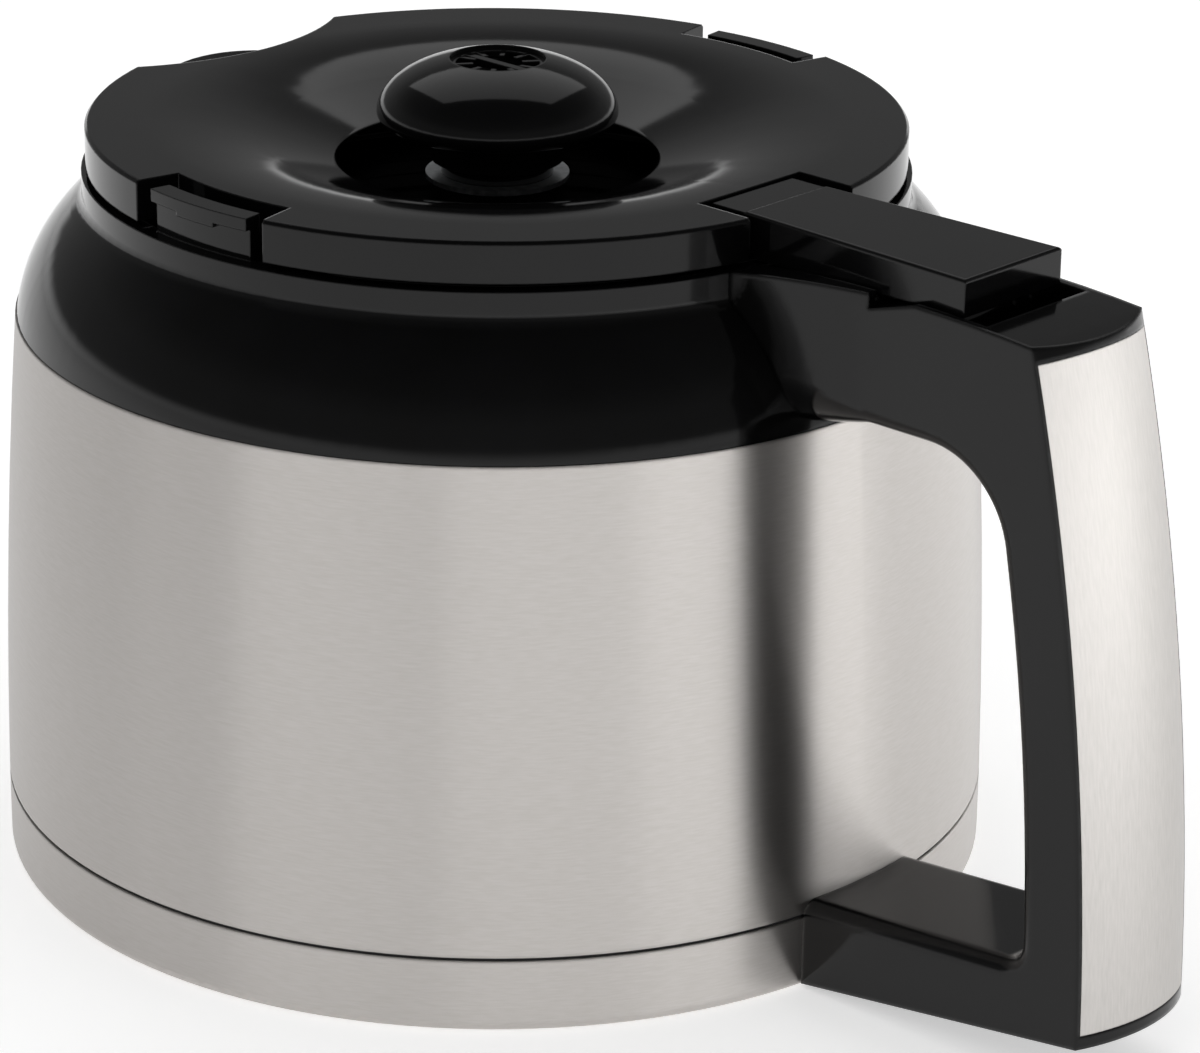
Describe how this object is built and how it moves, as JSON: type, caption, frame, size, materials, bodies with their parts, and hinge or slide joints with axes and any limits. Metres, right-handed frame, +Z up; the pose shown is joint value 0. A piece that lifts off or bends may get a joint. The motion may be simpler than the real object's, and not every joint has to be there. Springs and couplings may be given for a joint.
{
  "type": "thermal carafe",
  "caption": "Double-walled steel coffee carafe with a black collar and spout, a C-shaped handle, a hinged dished lid and a push-knob pouring valve.",
  "frame": {"origin": "centre of the circle that the jug stands on, at the plane of the table", "axes": "+Z up along the jug's axis, +X from the axis towards the handle, -X towards the spout, +Y to the left of someone who looks along +X"},
  "size_m": [0.2158, 0.16, 0.1302],
  "materials": {
    "brushed_steel": "fine circumferential brushing",
    "satin_steel": "plain drawn steel",
    "black_plastic": "smooth moulded, glossy",
    "silicone": "matt",
    "fastener_steel": "bright plated"
  },
  "bodies": {
    "jug": {"outer_shell": "brushed_steel", "inner_liner": "satin_steel", "closing_disc": "satin_steel", "getter": "fastener_steel", "base_cup": "brushed_steel", "seam_ring": "silicone", "collar": "black_plastic", "collar_seal": "silicone", "retaining_ring": "black_plastic", "root_screws": "fastener_steel", "handle": "black_plastic", "handle_cover": "brushed_steel", "foot_bracket": "satin_steel", "foot_screw": "fastener_steel", "hinge_pin": "fastener_steel"},
    "lid": {"lid_cover": "black_plastic", "lid_arm": "black_plastic", "lid_screws": "fastener_steel", "lid_plug": "black_plastic", "lid_seal": "silicone", "valve_guide": "black_plastic", "guide_clip": "fastener_steel", "valve_spring": "fastener_steel"},
    "valve": {"knob": "black_plastic", "knob_grille": "black_plastic", "valve_stem": "black_plastic", "valve_disc": "black_plastic", "valve_seal": "silicone", "stem_clip": "fastener_steel"}
  },
  "joints": [
    {"name": "lid_hinge", "type": "hinge", "parent": "jug", "child": "lid", "pos_m": [0.0945, 0, 0.1095], "axis": [0, 1, 0], "range_deg": [0, 85]},
    {"name": "valve_press", "type": "slide", "parent": "lid", "child": "valve", "axis": [0, 0, -1], "range_m": [0, 0.0035], "stiffness_N_per_m": 400, "springref_m": -0.006, "deforming": ["valve_spring"]}
  ]
}
